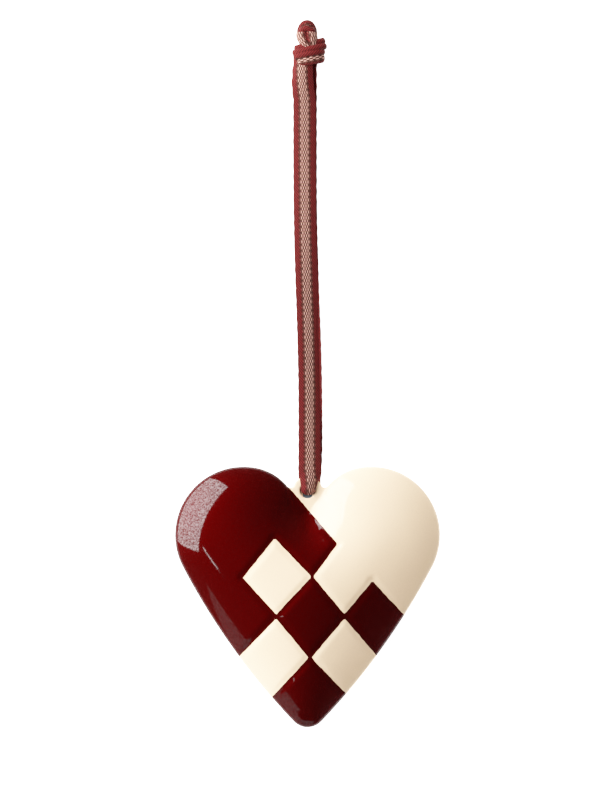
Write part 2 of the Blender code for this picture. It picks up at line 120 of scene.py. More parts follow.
HALF_WIDTH = HEART_WIDTH / 2
HEART_HEIGHT = LOBE_RISE + LOBE_RADIUS
TIP_Y = -HEART_HEIGHT / 2
HOLE = Vector((0.0, TIP_Y + EAR_RISE))
HOLE_SPOT = Vector((HOLE.x, HOLE.y, 0))
print("the heart is", round(HEART_WIDTH / MM, 1), "by", round(HEART_HEIGHT / MM, 1), "mm")

# %% [markdown]
# ## The ribbon's path
#
# The ribbon is one length. It comes down the front to the ear, dives through the hole and
# goes back up behind itself to the knot. Each half is drawn as a cord of its own, along
# points given in millimetres from the hole's middle. A smooth curve through them,
# with as much bend shared out on both sides of each point, gives the line it lies on.

# %% Paths of the two strands
RIBBON_WIDTH = 6.0 * MM
RIBBON_BAND = 0.4 * MM           # the thickness of the plain solids along the same paths
ROUTE_STEPS = 8                  # steps from each point of a strand's route to the next
FRONT_ROUTE = [
    (0.2, 0.35, 1.8), (0.2, 0.35, 2.6), (0.25, 0.6, 3.05), (0.3, 1.4, 3.3), (0.4, 3.0, 3.3),
    (0.5, 5.5, 2.95), (0.53, 9.0, 2.3), (0.53, 14.0, 1.55), (0.53, 20.0, 1.0),
    (0.5, 28.0, 0.75), (0.3, 38.0, 0.75), (0.0, 48.0, 0.75), (-0.3, 57.0, 0.75),
    (-0.6, 68.0, 0.75), (-0.75, 79.0, 0.75), (-0.8, 90.0, 0.75), (-0.8, 99.0, 0.9),
    (-0.8, 105.0, 1.4), (-0.8, 109.0, 1.95), (-0.8, 111.6, 2.4), (-0.7, 114.6, 2.7),
]
BACK_ROUTE = [
    (0.2, 0.35, 1.8), (0.2, 0.4, 1.0), (0.25, 0.9, 0.6), (0.4, 2.0, 0.35), (0.6, 4.0, 0.2),
    (0.8, 7.0, 0.05), (0.95, 12.0, 0.0), (0.95, 20.0, 0.0), (0.85, 30.0, 0.0),
    (0.6, 40.0, 0.0), (0.2, 50.0, 0.0), (-0.1, 60.0, 0.0), (-0.4, 71.0, 0.0),
    (-0.5, 82.0, 0.0), (-0.5, 92.0, 0.0), (-0.5, 100.0, 0.15), (-0.5, 105.0, 0.55),
    (-0.5, 109.0, 1.1), (-0.5, 111.6, 1.55), (-0.3, 114.6, 1.7),
]


def tangent_at(path, k):
    return (path[min(k + 1, len(path) - 1)] - path[max(k - 1, 0)]).normalized()


def smooth_route(route, steps):
    # A smooth curve through the route's points, so many steps from each to the next.
    points = [Vector(point) * MM for point in route]
    smooth = [points[0]]
    for k, (here, there) in enumerate(zip(points, points[1:])):
        reach = (there - here).length / 3
        leave = here + tangent_at(points, k) * reach
        arrive = there - tangent_at(points, k + 1) * reach
        smooth += interpolate_bezier(here, leave, arrive, there, steps + 1)[1:]
    return [point + HOLE_SPOT for point in smooth]


def path_length(points):
    return sum((b - a).length for a, b in zip(points, points[1:]))


half_band = Vector((0, 0, RIBBON_BAND / 2))
front_path = [point + half_band for point in smooth_route(FRONT_ROUTE, ROUTE_STEPS)]
back_path = [point + half_band for point in smooth_route(BACK_ROUTE, ROUTE_STEPS)]
strand_lengths = [round(path_length(path) / MM, 1) for path in (front_path, back_path)]
print("strands", strand_lengths, "mm long")

# %% [markdown]
# ## The shape of a ribbon
#
# A woven ribbon bends easily along its length and hardly across it, but it curls: where it
# is squeezed into the hole its edges turn under and it becomes a narrow channel. The curl
# is given as the angle that each half of its width turns through, so that the ribbon keeps
# its true width round the curl however narrow it looks. A plane with a modifier could do
# this too, but laying rows of points across the path keeps the weave's scale exact,
# because each point knows how far along and across the ribbon it lies.

# %% Lay a ribbon along a path
CLOTH = 0.24 * MM
ACROSS = 14
SELVEDGE_WAVE = 3.1 * MM
SELVEDGE_SWING = 0.07 * MM
CLOTH_CORNER = math.radians(60)  # a fold sharper than this keeps a crisp edge


def eased(share):
    share = np.clip(share, 0, 1)
    return share ** 2 * (3 - 2 * share)


def ribbon_rows(path, lateral, normal, curl, roll, start=0.0, way=1, part=(-1.0, 1.0)):
    # One row of points across the ribbon at each point of the path, for its outer and its
    # inner face, with how far along and across the ribbon each of them lies. A roll turns
    # the ribbon about its own length, towards the right where it is more than nought. Where
    # some of the width is folded under, the part says which of it is laid.
    rows = []
    gone = start
    for k, point in enumerate(path):
        gone += way * (point - path[max(k - 1, 0)]).length
        swing = SELVEDGE_SWING * math.sin(math.tau * gone / SELVEDGE_WAVE)
        half = (RIBBON_WIDTH / 2 + swing) * (part[1] - part[0]) / 2
        radius = half / curl[k]
        row = []
        for side in (0.5, -0.5):
            for j in range(ACROSS + 1):
                share = 2 * j / ACROSS - 1
                bend = share * curl[k] + roll[k]
                reach = radius + side * CLOTH
                drop = reach * math.cos(bend) - radius * (1 + math.cos(curl[k])) / 2
                spot = point + lateral[k] * reach * math.sin(bend) + normal[k] * drop
                across = (part[0] + part[1] + share * (part[1] - part[0])) * RIBBON_WIDTH / 4
                row.append((spot, across, gone))
        rows.append(row)
    return rows


def ribbon_mesh(name, bands, closed=()):
    # All bands go into one mesh. The weave's place is kept as a map in millimetres.
    points, weave, faces = [], [], []
    for index, rows in enumerate(bands):
        first = len(points)
        for row in rows:
            points += [spot for spot, _, _ in row]
            weave += [(across / MM, along / MM) for _, across, along in row]
        size = 2 * (ACROSS + 1)
        ring = list(range(ACROSS + 1)) + list(range(size - 1, ACROSS, -1))
        last = len(rows) if index in closed else len(rows) - 1
        for k in range(last):
            a, b = first + k * size, first + (k + 1) % len(rows) * size
            for i, j in zip(ring, ring[1:] + ring[:1]):
                faces.append((a + i, a + j, b + j, b + i))
        if index not in closed:
            faces.append(tuple(first + i for i in reversed(ring)))
            faces.append(tuple(first + (len(rows) - 1) * size + i for i in ring))
    mesh = bpy.data.meshes.new(name)
    mesh.from_pydata(points, [], faces)
    layer = mesh.uv_layers.new(name="weave")
    for loop in mesh.loops:
        layer.data[loop.index].uv = weave[loop.vertex_index]
    mesh.shade_smooth()
    mesh.set_sharp_from_angle(angle=CLOTH_CORNER)
    return in_scene(name, mesh)


print("each band has", ACROSS, "strips across its", RIBBON_WIDTH / MM, "mm")

# %% [markdown]
# ## The two strands
#
# Both strands lie with their width along X. In front the ribbon arches a little towards
# the eye. At the hole it curls tightly and rolls to the right, and below the knot it rolls
# to the left, so there its stripe lies off the middle. Its lower half is also twisted a
# little away from the lamp, which makes it a shade darker than the upper half. Behind the
# ear there is little room over the table, so the back strand lies nearly flat there.

# %% Front and back strand
# Curls, rolls and the twist are angles in radians, and a lean moves the path a little aside.
HOLE_CURL = 1.6
FRONT_CURL = 0.3
BACK_CURL = 0.1
KNOT_CURL = 0.9
HOLE_ROLL = 0.35
KNOT_ROLL = -0.3
HOLE_LEAN = Vector((0.1, -0.4, 0)) * MM
KNOT_LEAN = Vector((0.25, 0, 0)) * MM
TWIST = 0.2
TWIST_FROM, TWIST_TO = 85.0 * MM, 40.0 * MM
FRONT_OPENS = 6.5 * MM           # the ribbon opens over this much of its length from the hole
BACK_OPENS = 2.6 * MM
KNOT_OPENS = 12.0 * MM           # and over this much from the knot
LEAN_FADES = 1.5                 # the lean at the hole ends so many times sooner than the curl
ALONG_X = Vector((1, 0, 0))


def strand(name, path, free_curl, opens, front):
    # The curl eases from the hole's to the free one. The outer face is the one that shows.
    gone = [path_length(path[:k + 1]) for k in range(len(path))]
    curl = [HOLE_CURL + (free_curl - HOLE_CURL) * eased(along / opens) for along in gone]
    roll = [0.0] * len(path)
    twist = [0.0] * len(path)
    if front:
        near_knot = [eased(1 - (gone[-1] - along) / KNOT_OPENS) for along in gone]
        curl = [free + (KNOT_CURL - free) * near for free, near in zip(curl, near_knot)]
        roll = [HOLE_ROLL * (1 - eased(along / opens)) + KNOT_ROLL * near
                for along, near in zip(gone, near_knot)]
        twist = [TWIST * eased((TWIST_FROM - along) / (TWIST_FROM - TWIST_TO)) for along in gone]
        path = [point + HOLE_LEAN * (1 - eased(LEAN_FADES * along / opens)) + KNOT_LEAN * near
                for point, along, near in zip(path, gone, near_knot)]
    laterals, normals = [], []
    for k in range(len(path)):
        normal = ALONG_X.cross(tangent_at(path, k)).normalized() * (1 if front else -1)
        laterals.append(ALONG_X * math.cos(twist[k]) - normal * math.sin(twist[k]))
        normals.append(normal * math.cos(twist[k]) + ALONG_X * math.sin(twist[k]))
    rows = ribbon_rows(path, laterals, normals, curl, roll, 0.0, 1 if front else -1)
    return ribbon_mesh(name, [rows])


ribbon_front = strand("front_strand", front_path, FRONT_CURL, FRONT_OPENS, True)
ribbon_back = strand("back_strand", back_path, BACK_CURL, BACK_OPENS, False)
print("strand faces", len(ribbon_front.data.polygons), len(ribbon_back.data.polygons))

# %% [markdown]
# ## The knot
#
# The doubled ribbon is tied in an overhand knot, and a short bight of it stands out on top.
# What can be seen is a wrap round both strands, with the red edges of further turns stacked
# above it, and out of them come the two legs of the bight, which lean together and meet in
# a rounded fold. A cloth simulation of a tight knot is slow and hard to steer, so each
# visible turn is laid one by one as a band of the same ribbon, curled round what is under it.

# %% Rings round the strands
WRAP_ROWS = 48                   # rows of points round each closed ring
RED_EDGE = (0.42, 1.0)
WRAP_LAYERS = [
    # middle of the ring, half its width and height, its tilt and curl, the weave's start, and
    # the part of the width that shows
    ((0.9, 113.95, 2.2), (3.3, 1.7), 10, 1.0, 0.0, (-0.75, 0.25)),
    ((0.45, 115.4, 2.4), (4.0, 2.0), 10, 0.9, 20.0, RED_EDGE),
    ((0.55, 116.6, 2.33), (4.4, 1.9), 13, 0.9, 40.0, RED_EDGE),
    ((0.6, 117.9, 2.2), (4.0, 1.6), 16, 0.9, 60.0, RED_EDGE),
]


def wrap_rows(middle, half, tilt, curl, start, part):
    # A closed ring round the strands, its outer face turned outwards.
    turn = Matrix.Rotation(math.radians(tilt), 4, "Z")
    path, normals = [], []
    for k in range(WRAP_ROWS):
        angle = math.tau * k / WRAP_ROWS
        spot = Vector((half[0] * math.cos(angle), 0, half[1] * math.sin(angle))) * MM
        out = Vector((math.cos(angle) / half[0], 0, math.sin(angle) / half[1])).normalized()
        path.append(turn @ spot + Vector(middle) * MM + HOLE_SPOT)
        normals.append((turn @ out).normalized())
    laterals = [(turn @ Vector((0, 1, 0))).normalized()] * WRAP_ROWS
    curls, rolls = [curl] * WRAP_ROWS, [0.0] * WRAP_ROWS
    return ribbon_rows(path, laterals, normals, curls, rolls, start * MM, 1, part)


rings = [wrap_rows(*layer) for layer in WRAP_LAYERS]
print(len(rings), "rings of", WRAP_ROWS, "rows")

# %% Bands of the bight
LEFT_LEG = [
    (0.9, 116.2, 2.2), (0.2, 117.5, 2.9), (-0.6, 118.6, 3.2), (-1.15, 119.6, 3.1),
    (-1.35, 120.5, 2.7), (-1.2, 121.3, 1.8),
]
RIGHT_LEG = [
    (1.5, 116.4, 2.3), (1.3, 117.8, 3.0), (1.15, 119.0, 3.3), (0.95, 120.1, 3.1),
    (0.75, 120.8, 2.6), (0.5, 121.4, 1.8),
]
OUTER_FOLD = [
    (-2.3, 120.4, 1.6), (-1.95, 121.9, 2.3), (-1.25, 123.2, 2.7), (-0.2, 123.7, 2.8),
    (0.85, 123.35, 2.7), (1.65, 122.1, 2.3), (1.9, 120.6, 1.6),
]
INNER_FOLD = [
    (-2.2, 120.3, 2.6), (-1.7, 121.5, 3.3), (-0.7, 122.2, 3.5), (0.5, 122.0, 3.5),
    (1.5, 121.4, 3.3), (1.9, 120.3, 2.6),
]
BIGHT_BANDS = [
    # route, how far its face looks outwards and upwards, its curl and roll, the weave's start,
    # and the part of the width that shows
    (LEFT_LEG, 0.1, 1.0, 1.9, -0.6, 5.0),
    (RIGHT_LEG, 0.1, 1.0, 1.9, 0.5, 12.0),
    (OUTER_FOLD, 0.5, 1.0, 1.2, 0.0, 30.0, (-1.0, -0.25)),
    (INNER_FOLD, 0.3, 1.0, 1.0, 0.0, 45.0, RED_EDGE),
]
BIGHT_MIDDLE = (-0.2, 120.5, 2.2)
BIGHT_STEPS = 5                  # steps from each point of the bight's routes to the next


def bight_rows(route, outward, upward, curl, roll, start, part=(-1.0, 1.0)):
    # A band that follows the route, its face turned outwards from the bight and upwards.
    path = smooth_route(route, BIGHT_STEPS)
    laterals, normals = [], []
    middle = Vector(BIGHT_MIDDLE) * MM + HOLE_SPOT
    for k in range(len(path)):
        tangent = tangent_at(path, k)
        away = (path[k] - middle) * Vector((1, 1, 0))
        out = away.normalized() * outward + Vector((0, 0, upward))
        normal = (out - tangent * out.dot(tangent)).normalized()
        normals.append(normal)
        laterals.append(tangent.cross(normal).normalized())
    curls, rolls = [curl] * len(path), [roll] * len(path)
    return ribbon_rows(path, laterals, normals, curls, rolls, start * MM, 1, part)


bands = rings + [bight_rows(*band) for band in BIGHT_BANDS]
knot = ribbon_mesh("knot_and_bight", bands, closed=range(len(rings)))
print("the knot has", len(bands), "bands and", len(knot.data.polygons), "faces")

# %% [markdown]
# ## Compasses for the heart
#
# The heart's faces are heights over a flat outline, and each height depends on how far the
# spot lies inside the edge. So the first need is the distance to a set of arcs.

# %% Arcs and distances


def direction(angle):
    return Vector((math.cos(angle), math.sin(angle)))


def angle_of(vector):
    return math.atan2(vector.y, vector.x)


def meeting_point(first, first_reach, second, second_reach, left):
    # The point at these two distances from two centres, left or right of the line between.
    line = second - first
    gap = line.length
    line.normalize()
    along = (first_reach ** 2 - second_reach ** 2 + gap ** 2) / (2 * gap)
    off = math.sqrt(first_reach ** 2 - along ** 2)
    side = Vector((-line.y, line.x)) * (off if left else -off)
    return first + line * along + side


class Arc:
    # A round stretch of the outline, from one angle up to a greater one.
    def __init__(self, centre, radius, start, end):
        self.centre = centre
        self.radius = radius
        self.start = start
        self.end = end

    def points(self, step):
        count = max(1, math.ceil(self.radius * (self.end - self.start) / step))
        turns = [self.start + (self.end - self.start) * k / count for k in range(count + 1)]
        return [self.centre + direction(turn) * self.radius for turn in turns]

    def distance(self, spots):
        offset = spots - np.array(self.centre)
        turn = (np.arctan2(offset[:, 1], offset[:, 0]) - self.start) % math.tau
        beside = np.abs(np.hypot(offset[:, 0], offset[:, 1]) - self.radius)
        ends = [self.centre + direction(angle) * self.radius for angle in (self.start, self.end)]
        past = np.minimum(*[np.hypot(*(spots - np.array(end)).T) for end in ends])
        return np.where(turn <= self.end - self.start, beside, past)


def segment_distance(spots, start, end):
    start = np.array(start)
    line = np.array(end) - start
    along = np.clip((spots - start) @ line / (line @ line), 0, 1)
    return np.hypot(*(spots - start - along[:, None] * line).T)


# %% The arcs of the right half
LOBE = Vector((HALF_WIDTH - LOBE_RADIUS, TIP_Y + LOBE_RISE))
TIP = Vector((0.0, TIP_Y + TIP_RADIUS))
SIDE = meeting_point(LOBE, SIDE_RADIUS - LOBE_RADIUS, TIP, SIDE_RADIUS - TIP_RADIUS, False)
INNER = LOBE + direction(INNER_LOBE_START) * (LOBE_RADIUS - INNER_LOBE_RADIUS)
EAR_GAP = (INNER - HOLE).length - EAR_RADIUS - INNER_LOBE_RADIUS
FILLET_RADIUS = EAR_FILLET + max(EAR_GAP, 0) / 2
FILLET = meeting_point(HOLE, EAR_RADIUS + FILLET_RADIUS, INNER, INNER_LOBE_RADIUS + FILLET_RADIUS, True)

tip_arc = Arc(TIP, TIP_RADIUS, -math.pi / 2, angle_of(TIP - SIDE))
side_arc = Arc(SIDE, SIDE_RADIUS, angle_of(TIP - SIDE), angle_of(LOBE - SIDE))
lobe_arc = Arc(LOBE, LOBE_RADIUS, angle_of(LOBE - SIDE), INNER_LOBE_START)
shown_arc = Arc(INNER, INNER_LOBE_RADIUS, INNER_LOBE_START, angle_of(FILLET - INNER))
hidden_arc = Arc(INNER, INNER_LOBE_RADIUS, angle_of(FILLET - INNER), INNER_LOBE_END)
fillet_arc = Arc(FILLET, FILLET_RADIUS, angle_of(HOLE - FILLET) % math.tau,
                 angle_of(INNER - FILLET) % math.tau)
ear_arc = Arc(HOLE, EAR_RADIUS, angle_of(FILLET - HOLE), math.pi / 2)
hole_arc = Arc(HOLE, HOLE_RADIUS, -math.pi / 2, math.pi / 2)
rim_arcs = [tip_arc, side_arc, lobe_arc, shown_arc]
puff_arcs = rim_arcs + [hidden_arc]
FLANK_TOP = INNER + direction(INNER_LOBE_END) * INNER_LOBE_RADIUS
CLEFT = Vector((0.0, FLANK_TOP.y + FLANK_TOP.x / math.tan(INNER_LOBE_END)))


def both_halves(measure, spots):
    return measure(spots), measure(spots * np.array([-1.0, 1.0]))


def half_puff_distance(spots):
    rows = [arc.distance(spots) for arc in puff_arcs]
    rows.append(segment_distance(spots, FLANK_TOP, CLEFT))
    return np.min(rows, axis=0)


def half_rim_distance(spots):
    return np.min([arc.distance(spots) for arc in rim_arcs], axis=0)


def half_edge_distance(spots):
    arcs = rim_arcs + [fillet_arc, ear_arc, hole_arc]
    return np.min([arc.distance(spots) for arc in arcs], axis=0)


def edge_distance(spots):
    return np.min(both_halves(half_edge_distance, spots), axis=0)


print("ear fillet", round(FILLET_RADIUS / MM, 2), "mm, cleft at", round(CLEFT.y / MM, 1), "mm")

# %% [markdown]
# ## The puffed form
#
# Two pressed sheets meet at the rim. From there the front rises in a round shoulder, and
# then it goes on more and more gently over a rounded crown, as a skin does that is blown
# up. Close to the ear the form is pressed down softly into a cleft. A subdivided cage could
# give such a form, but heights worked out from the outline keep its slope even, and that is
# what the shades of the red show. It is done the same way as in the solid, and only the
# mesh is finer here.

# %% How deep a spot lies inside
RIDGE_BLEND = 6.0 * MM
RIDGE_SHARE = 0.8                # near the edge the blend is at most this share of both depths
TINY = 1e-9                      # keeps a blend of no width from dividing by nought


def inside_puff(spots):
    # Between the flanks of the cleft there is only the flat ear.
    x, y = np.abs(spots[:, 0]), spots[:, 1]
    flank_x = FLANK_TOP.x * (y - CLEFT.y) / (FLANK_TOP.y - CLEFT.y)
    beside_arc = (y > FLANK_TOP.y) & (np.hypot(x - INNER.x, y - INNER.y) > INNER_LOBE_RADIUS)
    in_cleft = (y > CLEFT.y) & (y <= FLANK_TOP.y) & (x < flank_x)
    return ~(in_cleft | (beside_arc & (x < INNER.x)))


def puff_depth(spots):
    # How far a spot lies inside the puffed outline, with the ridge in the middle rounded.
    right, left = both_halves(half_puff_distance, spots)
    blend = np.minimum(RIDGE_BLEND, RIDGE_SHARE * (right + left)) + TINY
    overlap = np.maximum(blend - np.abs(right - left), 0) / blend
    depth = np.minimum(right, left) - overlap ** 2 * blend / 4
    return np.where(inside_puff(spots), np.maximum(depth, 0), 0)


print("the middle lies", round(puff_depth(np.zeros((1, 2)))[0] / MM, 1), "mm inside the outline")

# %% The blown-up crown
CROWN_STEP = 0.5 * MM            # length of the stretches that the outline is cut into for it
LEAST_OPENING = 1e-30            # stands in where a spot lies on the outline itself


def mirrored_loop(half):
    return half + [Vector((-p.x, p.y)) for p in reversed(half[1:-1])]


def joined(chains):
    points = []
    for chain in chains:
        points += chain if not points else chain[1:]
    return points


def crown_rise(spots):
    # The rise of a skin that is blown up over the puffed outline and leaves it at 45 degrees.
    # It is smooth all over: each stretch of the outline pulls it down, the near ones hardest.
    chains = [arc.points(CROWN_STEP) for arc in puff_arcs]
    outline = np.array(mirrored_loop(joined(chains + [[FLANK_TOP, CLEFT]])))
    pull = np.zeros(len(spots))
    for start, end in zip(outline, np.roll(outline, -1, axis=0)):
        to_start, to_end = start - spots, end - spots
        near, far = np.hypot(*to_start.T), np.hypot(*to_end.T)
        opened = near * far * (near * far + np.sum(to_start * to_end, axis=1))
        pull += np.hypot(*(end - start)) * (near + far) / np.maximum(opened, LEAST_OPENING)
    return np.where(inside_puff(spots), np.sqrt(2 / pull), 0)


print("the skin rises", round(crown_rise(np.zeros((1, 2)))[0] / MM, 1), "mm in the middle")

# %% [markdown]
# ## The weave
#
# Where two strips of the woven heart meet, the pressed sheet has a shallow groove. The places
# where the joints cross are listed, as shares of the heart's half width and of its
# height, because in the real one they aren't quite even. Grooves cut with a boolean would
# have hard sides, so here each joint only takes a little off the height, in a soft wave.

# %% Joints and grooves
GROOVE_DEPTH = 0.29 * MM
GROOVE_HALF_WIDTH = 1.7 * MM
GROOVE_FADE = 3.5 * MM           # a groove fades out over this much by the rim
CROSSINGS = [
    [None, (0.226, 0.706), (0.487, 0.564), (0.731, 0.431)],
    [(-0.248, 0.727), (0.036, 0.581), (0.279, 0.429), (0.518, 0.280)],
    [(-0.487, 0.577), (-0.235, 0.429), (0.019, 0.271), (0.283, 0.132)],
    [None, (-0.506, 0.279), (-0.259, 0.120), None],
]
LOBE_JOINT_START = (-0.137, 0.918)


def crossing(row, column):
    across, up = CROSSINGS[row][column]
    return Vector((across * HALF_WIDTH, TIP_Y + up * HEART_HEIGHT))


def weave_joints():
    across, up = LOBE_JOINT_START
    start = Vector((across * HALF_WIDTH, TIP_Y + up * HEART_HEIGHT))
    joints = [(start, crossing(0, 1)), (crossing(0, 2), crossing(0, 3))]
    joints.append((crossing(1, 0), crossing(2, 0)))
    joints += [(crossing(row, k), crossing(row, k + 1)) for row in (1, 2) for k in range(3)]
    joints += [(crossing(k, column), crossing(k + 1, column)) for column in (1, 2) for k in range(3)]
    return joints


def groove(spots, depth):
    left_over = np.ones(len(spots))
    for start, end in weave_joints():
        share = np.clip(segment_distance(spots, start, end) / GROOVE_HALF_WIDTH, 0, 1)
        left_over *= 1 - 0.5 * (1 + np.cos(math.pi * share))
    return GROOVE_DEPTH * (1 - left_over) * eased(depth / GROOVE_FADE)


print("the weave has", len(weave_joints()), "stretches of joint")

# %% [markdown]
# ## Heights
#
# The front's height is its shoulder and its crown together, less the grooves. The back has
# a shoulder alone, so its middle is flat and the heart lies still. The thin ear only has a
# small round edge. Where it meets the dome the two are blended, which a boolean can't do.

# %% Heights of the front and the back
RIM_LOW = 1.7 * MM
RIM_HEIGHT = 0.6 * MM
RIM_TOP = RIM_LOW + RIM_HEIGHT
EDGE_ROUND = 0.3 * MM
SHOULDER_WIDTH = 9.0 * MM
SHOULDER_RISE = 1.9 * MM
CROWN_SLOPE = 0.4                # how steeply the blown-up middle leaves the outline
BACK_WIDTH = 6.0 * MM
CLEFT_REACH = 3.0 * MM
EAR_BLEND = 0.8 * MM


def soft_rise(share):
    return 1 - (1 - np.clip(share, 0, 1)) ** 2


def quarter_round(share):
    return np.sqrt(soft_rise(share))


def rounded_maximum(first, second, blend):
    overlap = np.maximum(blend - np.abs(first - second), 0) / blend
    return np.maximum(first, second) + overlap ** 2 * blend / 4


def swelling(spots, dome):
    # The dome rises steeply from the heart's rim, and softly out of the cleft by the ear.
    edge = edge_distance(spots)
    ear = EDGE_ROUND * quarter_round(edge / EDGE_ROUND)
    blend = np.minimum(EAR_BLEND, 2 * edge) + TINY
    return rounded_maximum(dome, ear, blend)


def shoulder(spots, depth, width):
    rim = np.min(both_halves(half_rim_distance, spots), axis=0)
    softness = eased((rim - depth) / CLEFT_REACH)
    share = depth / width
    return quarter_round(share) * (1 - softness) + soft_rise(share) * softness


def front_heights(spots):
    depth = puff_depth(spots)
    dome = SHOULDER_RISE * shoulder(spots, depth, SHOULDER_WIDTH)
    dome += CROWN_SLOPE * crown_rise(spots) - groove(spots, depth)
    return RIM_TOP + swelling(spots, dome)


def back_heights(spots):
    depth = puff_depth(spots)
    dome = RIM_LOW * shoulder(spots, depth, BACK_WIDTH)
    return np.maximum(RIM_LOW - swelling(spots, dome), 0)


middle = front_heights(np.array([[0.0, 0.0]]))[0]
print("the heart is", round(middle / MM, 2), "mm thick in the middle")

# %% [markdown]
# ## A mesh that follows the form
#
# A plain grid would cut the steep shoulder into steps. So the mesh is made of rings that
# follow the outline, close together by the rim and wider apart further in, and an even
# field of points inside them. Blender's own triangulation joins them up.

# %% Points of the mesh
OUTLINE_STEP = 0.6 * MM
EAR_STEP = 0.3 * MM
HOLE_SIDES = 64
FRONT_RINGS = [0.05, 0.14, 0.28, 0.48, 0.75, 1.1, 1.5, 2.0, 2.55, 3.15, 3.8, 4.5]
BACK_RINGS = [0.08, 0.25, 0.55, 1.0, 1.6, 2.4, 3.3, 4.4, 6.0]
RING_SLACK = 0.02 * MM           # a ring's point is dropped where it is this much nearer another side
OVER_MIDDLE = 0.1 * MM           # how far past the middle line the right half's rings go
HOLE_RINGS = (0.05, 0.12, 0.2, 0.3, 0.5, 0.9, 1.3)
EAR_RINGS = (0.05, 0.12, 0.2, 0.3)
EAR_FROM, EAR_TO = math.radians(15), math.radians(165)    # the ear's free round end
ROW_SHARE = 0.866                # rows of even triangles lie this share of their side apart
EAR_CLEAR = 0.5 * MM             # the even field keeps this far off the ear's own edges
EAR_FLAT = 0.001 * MM            # a spot less deep than this lies on the flat ear


def edge_loop():
    lower = [arc.points(OUTLINE_STEP) for arc in rim_arcs]
    fillet = list(reversed(fillet_arc.points(EAR_STEP)))
    return mirrored_loop(joined(lower + [fillet, ear_arc.points(EAR_STEP)]))


def hole_loop(shift=0.0, narrowed=1.0):
    loop = mirrored_loop(hole_arc.points(math.pi * HOLE_RADIUS / HOLE_SIDES * 2))
    return [HOLE + (spot - HOLE) * narrowed + Vector((0, shift)) for spot in loop]


def ring_spots(depths):
    # Spots at these depths inside the puffed outline, each straight in from a point of it.
    spots = []
    for arc in puff_arcs:
        for spot in arc.points(OUTLINE_STEP)[1:]:
            inward = (arc.centre - spot).normalized()
            spots += [spot + inward * depth * MM for depth in depths]
    flank = CLEFT - FLANK_TOP
    inward = Vector((-flank.y, flank.x)).normalized()
    count = math.ceil(flank.length / OUTLINE_STEP)
    for k in range(count + 1):
        spots += [FLANK_TOP + flank * k / count + inward * depth * MM for depth in depths]
    nearest = np.min(both_halves(half_puff_distance, np.array(spots)), axis=0)
    wanted = np.tile(depths, len(spots) // len(depths)) * MM
    keep = np.abs(nearest - wanted) < RING_SLACK
    right = [spot for spot, kept in zip(spots, keep) if kept and spot.x > -OVER_MIDDLE]
    return right + [Vector((-spot.x, spot.y)) for spot in right]


def ear_spots():
    spots = []
    for reach in HOLE_RINGS:
        spots += Arc(HOLE, HOLE_RADIUS + reach * MM, 0, math.tau).points(EAR_STEP)
    for inset in EAR_RINGS:
        spots += Arc(HOLE, EAR_RADIUS - inset * MM, EAR_FROM, EAR_TO).points(EAR_STEP)
    return spots


def fill_spots(step, clear):
    # An even field over the middle, as deep inside as the clearance says, and over the ear.
    rows = int(HEART_HEIGHT / (step * ROW_SHARE)) + 2
    columns = int(HEART_WIDTH / step) + 2
    grid = np.array([((column - columns / 2 + row % 2 / 2) * step, TIP_Y + row * step * ROW_SHARE)
                     for row in range(rows) for column in range(columns)])
    depth = puff_depth(grid)
    on_ear = (edge_distance(grid) > EAR_CLEAR) & (depth < EAR_FLAT)
    return [Vector(spot) for spot in grid[(depth > clear) | on_ear]]


def inside_loop(spots, loop):
    # A spot is inside where an odd number of the loop's sides lies to the right of it.
    loop = np.array(loop)
    inside = np.zeros(len(spots), bool)
    for a, b in zip(loop, np.roll(loop, -1, axis=0)):
        if a[1] != b[1]:
            crossed = (a[1] > spots[:, 1]) != (b[1] > spots[:, 1])
            reach = a[0] + (b[0] - a[0]) * (spots[:, 1] - a[1]) / (b[1] - a[1])
            inside ^= crossed & (spots[:, 0] < reach)
    return inside


print("edge points", len(edge_loop()), "ear points", len(ear_spots()))

# %% Spread the points and join them
CELL = 0.6 * MM                  # side of the squares that near points are looked up in
POINTS_MEET = 1e-7               # points nearer than this would be taken as one


def spread(groups, loops):
    # Keeps each spot inside the outline that is clear of the spots kept before it.
    kept, cells = [], {}

    def place(spot, clearance):
        at = (int(spot.x // CELL), int(spot.y // CELL))
        around = [(at[0] + i, at[1] + j) for i in (-1, 0, 1) for j in (-1, 0, 1)]
        near = [other for square in around for other in cells.get(square, ())]
        if all((spot - other).length_squared > clearance ** 2 for other in near):
            kept.append(spot)
            cells.setdefault(at, []).append(spot)

    for loop in loops:
        for spot in loop:
            place(spot, 0)
    for spots, clearance in groups:
        flat = np.array(spots)
        good = inside_loop(flat, loops[0]) & ~inside_loop(flat, loops[1])
        for spot, wanted in zip(spots, good):
            if wanted:
                place(spot, clearance)
    return kept


def sheet(spots, loops):
    # Triangles over the spots, inside the outline and outside the hole.
    edge, hole = loops
    outer = list(range(len(edge)))
    inner = list(range(len(edge), len(edge) + len(hole)))
    sides = [(loop[k - 1], loop[k]) for loop in (outer, inner) for k in range(len(loop))]
    result = delaunay_2d_cdt(spots, sides, [], 0, POINTS_MEET)
    flat = np.array(spots)
    faces = np.array(result[2])
    middles = flat[faces].mean(axis=1)
    good = inside_loop(middles, edge) & ~inside_loop(middles, hole)
    return [tuple(int(i) for i in face) for face in faces[good]]


HOLE_SLANT = 0.7 * MM            # the punch went in at a slant, so its lower wall can be seen
HOLE_NARROWS = 0.8               # and the hole comes out behind with this share of its width
FRONT_FILL, FRONT_FILL_DEPTH = 0.62 * MM, 4.8 * MM
BACK_FILL, BACK_FILL_DEPTH = 1.0 * MM, 6.4 * MM

loops = (edge_loop(), hole_loop())
back_loops = (loops[0], hole_loop(HOLE_SLANT, HOLE_NARROWS))
